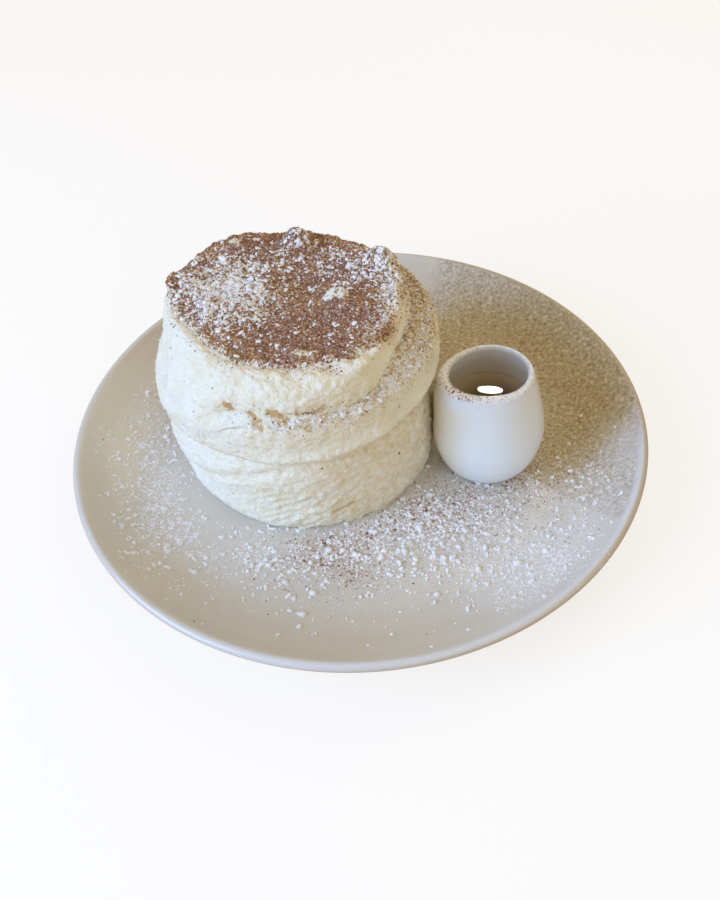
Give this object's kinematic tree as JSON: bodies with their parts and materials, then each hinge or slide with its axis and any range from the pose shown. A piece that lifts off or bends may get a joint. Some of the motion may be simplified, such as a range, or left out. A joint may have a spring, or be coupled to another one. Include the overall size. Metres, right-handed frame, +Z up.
{
  "type": "souffle pancakes",
  "caption": "Tall souffle pancakes under whipped cream, dusted with cocoa and icing sugar, served on a speckled stoneware coupe plate with a small handleless jug of syrup.",
  "frame": {"origin": "centre of the plate's foot ring, on the surface that the plate stands on", "axes": "+Z up, -Y towards the diner, +X to the diner's right, where the jug stands"},
  "size_m": [0.26, 0.26, 0.0992],
  "materials": {
    "stoneware": "pale warm grey glaze with a rough tan speckled side and a bare brown rim",
    "pancake": "matt, soft and finely porous, pale cream",
    "cream": "soft satin whipped cream under a matt coat of cocoa and icing sugar",
    "porcelain": "white gloss glaze",
    "syrup": "clear dark amber, wet gloss"
  },
  "bodies": {
    "root": {"plate": "stoneware", "lower_pancake": "pancake", "upper_pancake": "pancake", "cream_topping": "cream", "jug": "porcelain", "syrup": "syrup"}
  },
  "joints": []
}
